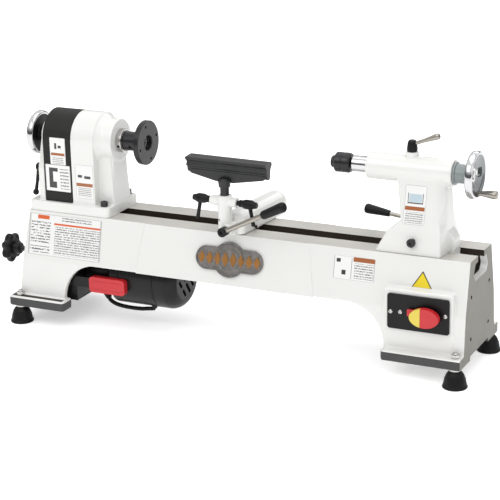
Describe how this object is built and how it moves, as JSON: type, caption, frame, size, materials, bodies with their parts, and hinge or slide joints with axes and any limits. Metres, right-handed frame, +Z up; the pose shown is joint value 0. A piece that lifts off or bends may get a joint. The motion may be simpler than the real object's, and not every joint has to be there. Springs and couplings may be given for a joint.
{
  "type": "benchtop wood lathe",
  "caption": "Benchtop wood lathe: cast bed on rubber feet, belt-drive headstock with faceplate, motor under the bed, swinging tool rest and screw-fed tailstock.",
  "frame": {"origin": "centre of the bounding box in plan, on the plane of the four rubber feet", "axes": "+X along the bed from the headstock to the tailstock, +Y from the operator's side to the back, +Z up"},
  "size_m": [0.899, 0.2154, 0.3883],
  "materials": {
    "white_paint": "semi-gloss off-white enamel on castings",
    "black_paint": "satin black paint",
    "grey_paint": "satin dark grey paint",
    "black_plastic": "moulded black plastic",
    "grey_plastic": "moulded grey plastic",
    "red_plastic": "moulded red plastic",
    "yellow_plastic": "moulded yellow plastic",
    "rubber": "matt black rubber",
    "bright_steel": "machined bright steel",
    "black_steel": "black-oxide steel",
    "chrome": "polished chrome plate",
    "aluminium": "turned aluminium",
    "cast_iron": "machined cast iron",
    "bronze_plate": "aged bronze-coloured plate"
  },
  "bodies": {
    "bed": {"bed_casting": "white_paint", "foot_1": "rubber", "foot_2": "rubber", "foot_3": "rubber", "foot_4": "rubber", "foot_stud_1": "bright_steel", "foot_stud_2": "bright_steel", "foot_stud_3": "bright_steel", "foot_stud_4": "bright_steel", "nameplate": "bronze_plate", "motor_pivot_pin": "bright_steel", "switch_plate": "black_plastic", "headstock_casting": "white_paint", "headstock_screw_front": "black_steel", "headstock_screw_rear": "black_steel", "front_bearing": "bright_steel", "rear_bearing": "bright_steel", "drive_belt": "rubber", "cover_hinge_pin": "bright_steel"},
    "spindle_line": {"spindle": "bright_steel", "spindle_pulley": "aluminium", "outboard_handwheel": "chrome", "spindle_collar": "bright_steel", "faceplate": "black_paint"},
    "cover": {"belt_cover": "black_paint"},
    "index_lever": {"headstock_lever": "black_plastic"},
    "knob": {"lock_knob": "black_plastic"},
    "motor": {"motor_bracket": "black_paint", "motor_housing": "black_paint", "fan_cover": "grey_paint", "tension_grip": "red_plastic", "lead_gland": "rubber", "motor_lead": "rubber"},
    "rotor": {"rotor_shaft": "bright_steel", "motor_pulley": "aluminium", "cooling_fan": "black_plastic"},
    "banjo_carriage": {"banjo_clamp_plate": "cast_iron"},
    "banjo_swivel": {"banjo_clamp_bolt": "bright_steel"},
    "banjo_arm": {"banjo": "white_paint"},
    "banjo_lock": {"banjo_lever": "bright_steel", "banjo_lever_grip": "black_plastic"},
    "post_clamp": {"post_lever": "black_plastic"},
    "swivel_clamp": {"swivel_lever": "black_plastic"},
    "rest_post": {"tool_rest_post": "black_steel"},
    "rest": {"tool_rest": "black_paint"},
    "tailstock": {"tailstock_casting": "white_paint", "tailstock_clamp": "cast_iron"},
    "tailstock_lock": {"tailstock_cam_shaft": "black_steel", "tailstock_lever": "chrome", "tailstock_lever_grip": "black_plastic"},
    "quill_line": {"quill": "chrome", "live_centre_body": "black_steel"},
    "centre_point": {"live_centre_point": "bright_steel"},
    "feed_wheel": {"quill_screw": "bright_steel", "handwheel_hub": "grey_plastic", "tailstock_handwheel": "chrome"},
    "wheel_handle": {"handwheel_handle": "chrome"},
    "quill_lock": {"quill_lock_lever": "black_plastic"},
    "switch": {"switch_paddle": "red_plastic"},
    "safety_key": {"switch_key": "yellow_plastic"}
  },
  "joints": [
    {"name": "spindle_spin", "type": "hinge", "parent": "bed", "child": "spindle_line", "pos_m": [-0.2875, 0, 0.3255], "axis": [1, 0, 0], "continuous": true},
    {"name": "cover_open", "type": "hinge", "parent": "bed", "child": "cover", "pos_m": [-0.3315, 0.0515, 0.3045], "axis": [-1, 0, 0], "range_deg": [0, 95]},
    {"name": "index_lever_turn", "type": "hinge", "parent": "bed", "child": "index_lever", "pos_m": [-0.3755, -0.03, 0.2715], "axis": [1, 0, 0], "range_deg": [-60, 60]},
    {"name": "knob_turn", "type": "hinge", "parent": "bed", "child": "knob", "pos_m": [-0.4375, -0.04, 0.1185], "axis": [1, 0, 0], "range_deg": [-180, 180]},
    {"name": "motor_lift", "type": "hinge", "parent": "bed", "child": "motor", "pos_m": [-0.3375, 0.056, 0.0805], "axis": [-1, 0, 0], "range_deg": [0, 3], "deforming": ["drive_belt"]},
    {"name": "rotor_spin", "type": "hinge", "parent": "motor", "child": "rotor", "pos_m": [-0.2375, 0, 0.0875], "axis": [1, 0, 0], "continuous": true},
    {"name": "banjo_slide", "type": "slide", "parent": "bed", "child": "banjo_carriage", "axis": [1, 0, 0], "range_m": [-0.1, 0.03]},
    {"name": "banjo_turn", "type": "hinge", "parent": "banjo_carriage", "child": "banjo_swivel", "pos_m": [0.0155, 0, 0.1985], "axis": [0, 0, 1], "range_deg": [-40, 45]},
    {"name": "banjo_reach", "type": "slide", "parent": "banjo_swivel", "child": "banjo_arm", "axis": [0.0872, 0.9962, 0], "range_m": [-0.045, 0.03]},
    {"name": "banjo_lock_turn", "type": "hinge", "parent": "banjo_arm", "child": "banjo_lock", "pos_m": [0.0155, 0, 0.2105], "axis": [-0.0872, -0.9962, 0], "range_deg": [0, 35]},
    {"name": "post_clamp_turn", "type": "hinge", "parent": "banjo_arm", "child": "post_clamp", "pos_m": [0.00327, -0.06518, 0.2575], "axis": [0.9962, -0.0872, 0], "range_deg": [-90, 90]},
    {"name": "swivel_clamp_turn", "type": "hinge", "parent": "banjo_arm", "child": "swivel_clamp", "pos_m": [0.00327, -0.06518, 0.2575], "axis": [0.9962, -0.0872, 0], "range_deg": [-10, 90]},
    {"name": "post_height", "type": "slide", "parent": "banjo_arm", "child": "rest_post", "axis": [0, 0, 1], "range_m": [-0.01, 0.02]},
    {"name": "rest_turn", "type": "hinge", "parent": "rest_post", "child": "rest", "pos_m": [0.00327, -0.06518, 0.2885], "axis": [0, 0, 1], "range_deg": [-60, 60]},
    {"name": "tailstock_slide", "type": "slide", "parent": "bed", "child": "tailstock", "axis": [1, 0, 0], "range_m": [-0.15, 0.04]},
    {"name": "tailstock_lock_turn", "type": "hinge", "parent": "tailstock", "child": "tailstock_lock", "pos_m": [0.3245, 0, 0.2185], "axis": [0, 1, 0], "range_deg": [0, 70]},
    {"name": "quill_feed", "type": "slide", "parent": "tailstock", "child": "quill_line", "axis": [-1, 0, 0], "range_m": [-0.023, 0.041]},
    {"name": "centre_spin", "type": "hinge", "parent": "quill_line", "child": "centre_point", "pos_m": [0.1765, 0, 0.3255], "axis": [1, 0, 0], "continuous": true},
    {"name": "handwheel_turn", "type": "hinge", "parent": "tailstock", "child": "feed_wheel", "pos_m": [0.4035, 0, 0.3255], "axis": [-1, 0, 0], "range_deg": [-1980, 3600]},
    {"name": "handle_spin", "type": "hinge", "parent": "feed_wheel", "child": "wheel_handle", "pos_m": [0.4275, 0, 0.2965], "axis": [1, 0, 0], "continuous": true},
    {"name": "quill_lock_turn", "type": "hinge", "parent": "tailstock", "child": "quill_lock", "pos_m": [0.3065, 0, 0.3545], "axis": [0, 0, 1], "range_deg": [-60, 60]},
    {"name": "switch_rock", "type": "hinge", "parent": "bed", "child": "switch", "pos_m": [0.363, -0.078, 0.111], "axis": [0, 0, 1], "range_deg": [0, 10]},
    {"name": "key_pull", "type": "slide", "parent": "switch", "child": "safety_key", "axis": [0, -1, 0], "range_m": [0, 0.03]}
  ],
  "couplings": [
    {"joint": "rotor_spin", "follows": "spindle_spin", "ratio": 1},
    {"joint": "quill_feed", "follows": "handwheel_turn", "m_per_rad": 0.00063662}
  ]
}
